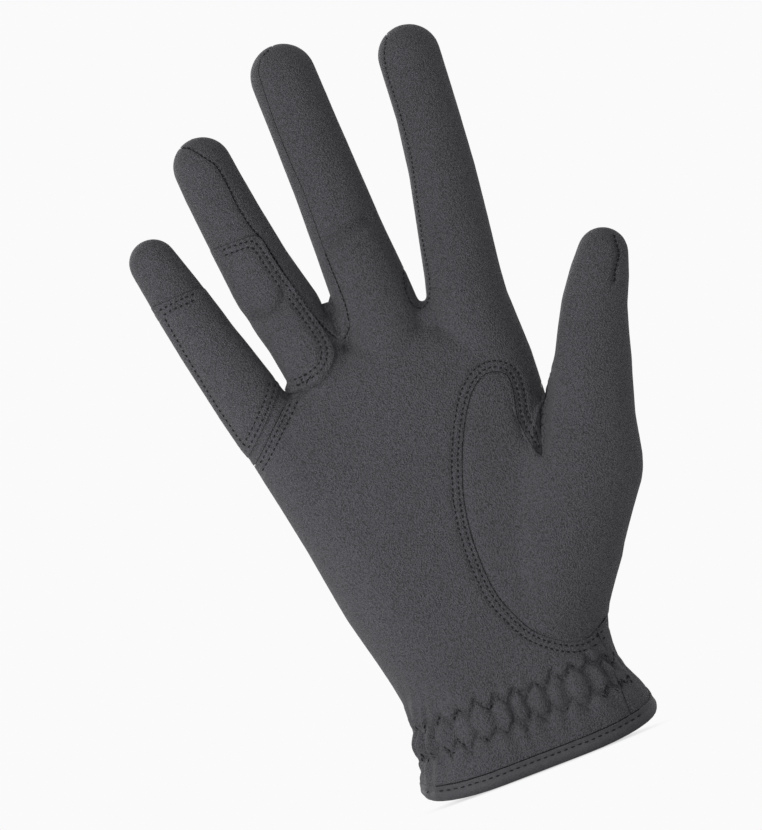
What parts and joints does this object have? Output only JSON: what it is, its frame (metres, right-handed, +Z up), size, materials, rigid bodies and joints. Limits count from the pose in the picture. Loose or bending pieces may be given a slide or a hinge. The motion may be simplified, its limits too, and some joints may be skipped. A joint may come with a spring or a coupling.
{
  "type": "golf glove",
  "caption": "Right-hand golf glove in its worn shape: cut leather hand, set-in thumb, finger side strips, sewn-on patches, elastic wrist and a hook-and-loop tab that opens.",
  "frame": {"origin": "middle of the opening that the hand goes in by, at the height of the rim's sides", "axes": "+Z up the hand from the rim to the fingertips, -Y out of the palm, +Y out of the back of the hand, +X towards the thumb"},
  "size_m": [0.1468, 0.0554, 0.2405],
  "materials": {
    "leather": "matt charcoal synthetic leather with a fine grain",
    "patch_leather": "matt charcoal synthetic leather with a fine grain, sewn on as a second layer",
    "binding_tape": "soft dark grey folded tape",
    "elastic": "woven grey elastic",
    "thread": "tone-on-tone dark thread",
    "lining": "fine dark knit",
    "loop_tape": "brushed loop pile",
    "hook_tape": "moulded hook tape"
  },
  "bodies": {
    "glove": {"palm_trank": "leather", "back_trank": "leather", "fourchette_index_middle": "leather", "fourchette_middle_ring": "leather", "fourchette_ring_little": "leather", "thumb_palm_piece": "leather", "thumb_back_piece": "leather", "little_finger_front": "leather", "ring_finger_patch": "patch_leather", "little_finger_patch": "patch_leather", "upper_wrist_elastic": "elastic", "lower_wrist_elastic": "elastic", "gather_stitching": "thread", "rim_binding": "binding_tape", "slit_binding": "binding_tape", "loop_patch": "loop_tape", "tab_root": "leather"},
    "closure_flap": {"closure_tab": "leather", "tab_lining": "lining", "hook_patch": "hook_tape"}
  },
  "joints": [
    {"name": "tab_hinge", "type": "hinge", "parent": "glove", "child": "closure_flap", "pos_m": [0.01484, 0.022, 0.0415], "axis": [0, 0.0856, -0.9963], "range_deg": [0, 150]}
  ]
}
